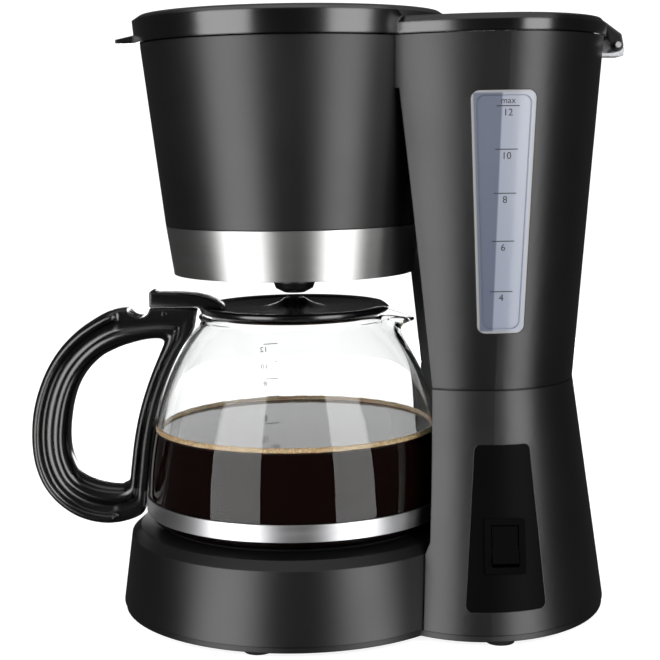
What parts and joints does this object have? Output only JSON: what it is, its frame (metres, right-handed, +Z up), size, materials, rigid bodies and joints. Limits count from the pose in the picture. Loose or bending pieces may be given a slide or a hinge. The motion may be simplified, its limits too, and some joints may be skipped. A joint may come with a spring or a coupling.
{
  "type": "drip coffee maker",
  "caption": "Black drip coffee maker: side water tank with a level window, steel-banded filter housing over a glass carafe on a warming plate, hinged lid, rocker switch and drip stop.",
  "frame": {"origin": "middle of the bounding box, on the surface the feet stand on", "axes": "+Z up, +X from the carafe towards the water tank, -Y towards the switch and level window"},
  "size_m": [0.3156, 0.1874, 0.31],
  "materials": {
    "body_black": "satin",
    "base_black": "matte",
    "gloss_black": "gloss",
    "switch_black": "gloss",
    "clear_tank": "translucent",
    "window_clear": "translucent",
    "band_steel": "brushed",
    "carafe_chrome": "polished",
    "carafe_clear": "clear",
    "plate_coat": "satin non-stick coating",
    "heater_alloy": "as cast",
    "basket_black": "satin",
    "pipe_white": "satin",
    "rubber": "matte",
    "hose_silicone": "satin",
    "fixing_steel": "zinc plated",
    "phenolic": "matte",
    "fuse_case": "satin",
    "wire_sleeve": "woven sleeve"
  },
  "bodies": {
    "body": {"base_drum": "body_black", "lower_tower": "body_black", "filter_housing": "body_black", "tank_shell": "body_black", "base_plate": "base_black", "switch_panel": "gloss_black", "switch_body": "switch_black", "water_tank": "clear_tank", "level_window": "window_clear", "steel_band": "band_steel", "hotplate": "plate_coat", "heater": "heater_alloy", "filter_basket": "basket_black", "spray_head": "basket_black", "riser_tube": "pipe_white", "check_valve": "pipe_white", "terminal_block": "pipe_white", "rubber_feet": "rubber", "hotplate_seal": "rubber", "riser_seal": "rubber", "cord_gland": "rubber", "cold_hose": "hose_silicone", "hot_hose": "hose_silicone", "base_screws": "fixing_steel", "clamp_screws": "fixing_steel", "deck_screws": "fixing_steel", "housing_screws": "fixing_steel", "heater_clamp": "fixing_steel", "thermostat_clip": "fixing_steel", "drip_spring": "fixing_steel", "lid_hinge_pin": "fixing_steel", "thermostat": "phenolic", "thermal_fuse": "fuse_case", "wires": "wire_sleeve"},
    "lid": {"lid": "gloss_black"},
    "carafe": {"carafe_glass": "carafe_clear", "carafe_band": "carafe_chrome", "carafe_handle": "gloss_black", "band_screw": "fixing_steel", "carafe_lid": "gloss_black", "carafe_lid_pin": "fixing_steel"},
    "rocker": {"rocker": "switch_black"},
    "drip_stop": {"drip_stop": "basket_black", "drip_seal": "rubber"},
    "valve_ball": {"valve_ball": "fixing_steel"}
  },
  "joints": [
    {"name": "lid_hinge", "type": "hinge", "parent": "body", "child": "lid", "pos_m": [0.1492, 0, 0.292], "axis": [0, 1, 0], "range_deg": [0, 90]},
    {"name": "carafe_slide", "type": "slide", "parent": "body", "child": "carafe", "axis": [-1, 0, 0], "range_m": [0, 0.18]},
    {"name": "rocker_tilt", "type": "hinge", "parent": "body", "child": "rocker", "pos_m": [0.0857, -0.06668, 0.04704], "axis": [1, 0, 0], "range_deg": [0, 14]},
    {"name": "drip_stop_lift", "type": "slide", "parent": "body", "child": "drip_stop", "axis": [0, 0, 1], "range_m": [0, 0.0026], "stiffness_N_per_m": 150, "springref_m": -0.004, "deforming": ["drip_spring"]},
    {"name": "valve_ball_lift", "type": "slide", "parent": "body", "child": "valve_ball", "axis": [0, 0, 1], "range_m": [0, 0.0016]}
  ]
}
